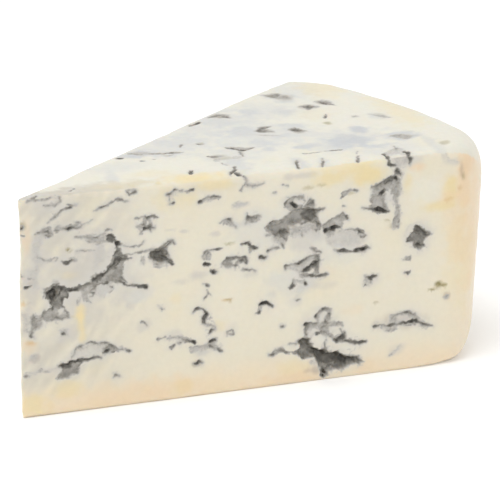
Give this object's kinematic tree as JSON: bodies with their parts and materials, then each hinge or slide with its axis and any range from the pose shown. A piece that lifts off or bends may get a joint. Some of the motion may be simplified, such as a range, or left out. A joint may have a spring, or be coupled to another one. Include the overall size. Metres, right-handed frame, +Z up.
{
  "type": "blue cheese wedge",
  "caption": "Wedge of blue cheese cut from half a small wheel: two knife-cut faces and a flat top with open blue veins, and a rounded rind.",
  "frame": {"origin": "middle of the wedge's box, on the surface that it rests on", "axes": "+X from the tip to the rind along the near cut, +Y away from the near cut, +Z up"},
  "size_m": [0.0994, 0.0552, 0.0438],
  "materials": {
    "cheese": "satin"
  },
  "bodies": {
    "root": {"cheese_wedge": "cheese"}
  },
  "joints": []
}
